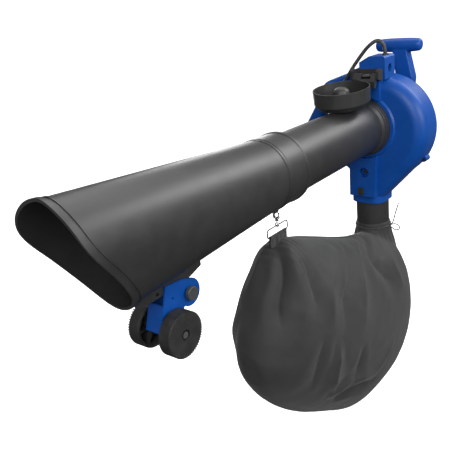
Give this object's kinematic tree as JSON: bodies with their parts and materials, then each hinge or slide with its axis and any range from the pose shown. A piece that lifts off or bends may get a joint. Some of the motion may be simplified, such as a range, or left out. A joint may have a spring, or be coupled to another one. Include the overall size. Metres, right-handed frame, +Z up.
{
  "type": "leaf vacuum mulcher",
  "caption": "Hand-held electric leaf vacuum and mulcher: flared suction tube with wheels, fan housing, assist and main handles, flip-open intake cover and hanging collection bag.",
  "frame": {"origin": "middle of the assist handle's grip bar, where one hand holds the machine", "axes": "+X along the suction tube's axis from the mouth to the motor, +Z up, the outlet and bag hanging towards -Z"},
  "size_m": [1.0496, 0.2981, 0.8263],
  "materials": {
    "black_shell": "satin",
    "blue_shell": "satin",
    "dark_plastic": "satin",
    "tread": "matte",
    "steel": "brushed",
    "nickel": "polished",
    "wire_black": "gloss",
    "laminated_steel": "matte",
    "copper": "satin",
    "carbon": "matte",
    "rubber": "matte",
    "woven": "matte",
    "webbing": "matte",
    "grey_plastic": "matte",
    "brass": "satin"
  },
  "bodies": {
    "machine": {"lower_tube": "black_shell", "upper_tube": "black_shell", "intake_gasket": "rubber", "keel_rail": "black_shell", "pivot_pin": "dark_plastic", "lock_button_spring": "steel", "front_shell": "blue_shell", "rear_shell": "blue_shell", "outlet_pipe": "dark_plastic", "latch_spring": "steel", "recess_screw": "steel", "seam_screws": "steel", "back_plate": "grey_plastic", "front_bearing": "steel", "rear_bearing": "steel", "motor_cover": "dark_plastic", "cover_screws": "steel", "stator": "laminated_steel", "brush_holders": "brass", "brushes": "carbon", "handle_front_half": "blue_shell", "handle_rear_half": "blue_shell", "trigger_spring": "steel", "switch_body": "dark_plastic", "lock_on_spring": "steel", "assist_handle": "blue_shell", "cover_bracket": "dark_plastic", "cover_hinge_pin": "steel", "cover_spring": "steel", "mains_cord": "rubber", "cord_gland": "rubber", "plug_body": "rubber", "plug_blades": "brass", "bag": "woven", "neck_drawstring": "webbing", "snap_hook": "nickel", "swivel_eye": "nickel", "wire_ring": "wire_black", "hang_tab": "webbing"},
    "yoke": {"wheel_yoke": "blue_shell", "axle": "steel", "axle_caps": "nickel"},
    "left_wheel": {"wheel_left": "tread"},
    "right_wheel": {"wheel_right": "tread"},
    "lock_button": {"yoke_lock_button": "dark_plastic"},
    "rotor": {"impeller": "grey_plastic", "impeller_nut": "steel", "rotor_shaft": "steel", "cooling_fan": "dark_plastic", "armature": "laminated_steel", "commutator": "copper"},
    "cover": {"intake_cover": "dark_plastic"},
    "trigger": {"trigger": "dark_plastic"},
    "lock_on": {"lock_on_button": "dark_plastic"},
    "dial": {"speed_dial": "dark_plastic"},
    "gate": {"snap_gate": "nickel"},
    "latch": {"outlet_latch": "blue_shell"}
  },
  "joints": [
    {"name": "impeller_spin", "type": "hinge", "parent": "machine", "child": "rotor", "pos_m": [-0.06, 0.03, -0.16], "axis": [1, 0, 0], "continuous": true},
    {"name": "yoke_tilt", "type": "hinge", "parent": "machine", "child": "yoke", "pos_m": [-0.747, 0.03, -0.279], "axis": [0, -1, 0], "range_deg": [0, 90]},
    {"name": "left_wheel_spin", "type": "hinge", "parent": "yoke", "child": "left_wheel", "pos_m": [-0.793, 0.03, -0.324], "axis": [0, 1, 0], "continuous": true},
    {"name": "right_wheel_spin", "type": "hinge", "parent": "yoke", "child": "right_wheel", "pos_m": [-0.793, 0.03, -0.324], "axis": [0, 1, 0], "continuous": true},
    {"name": "yoke_button_press", "type": "slide", "parent": "machine", "child": "lock_button", "axis": [0, 1, 0], "range_m": [0, 0.003], "stiffness_N_per_m": 800, "springref_m": -0.003, "deforming": ["lock_button_spring"]},
    {"name": "trigger_pull", "type": "slide", "parent": "machine", "child": "trigger", "axis": [0, 1, 0], "range_m": [0, 0.006], "stiffness_N_per_m": 600, "springref_m": -0.003, "deforming": ["trigger_spring"]},
    {"name": "lock_on_press", "type": "slide", "parent": "machine", "child": "lock_on", "axis": [-1, 0, 0], "range_m": [0, 0.003], "stiffness_N_per_m": 500, "springref_m": -0.003, "deforming": ["lock_on_spring"]},
    {"name": "outlet_latch_press", "type": "slide", "parent": "machine", "child": "latch", "axis": [1, 0, 0], "range_m": [0, 0.0025], "stiffness_N_per_m": 800, "springref_m": -0.002, "deforming": ["latch_spring"]},
    {"name": "cover_hinge", "type": "hinge", "parent": "machine", "child": "cover", "pos_m": [-0.144, 0.03, -0.045], "axis": [0, 1, 0], "range_deg": [0, 30], "stiffness_Nm_per_rad": 0.3, "springref_deg": -45.84},
    {"name": "speed_dial_turn", "type": "hinge", "parent": "machine", "child": "dial", "pos_m": [-0.075, 0.102, -0.07], "axis": [1, 0, 0], "range_deg": [0, 270]},
    {"name": "snap_gate_swing", "type": "hinge", "parent": "machine", "child": "gate", "pos_m": [-0.476, 0.0245, -0.2516], "axis": [-1, 0, 0], "range_deg": [0, 25], "stiffness_Nm_per_rad": 0.01, "springref_deg": -22.92}
  ]
}
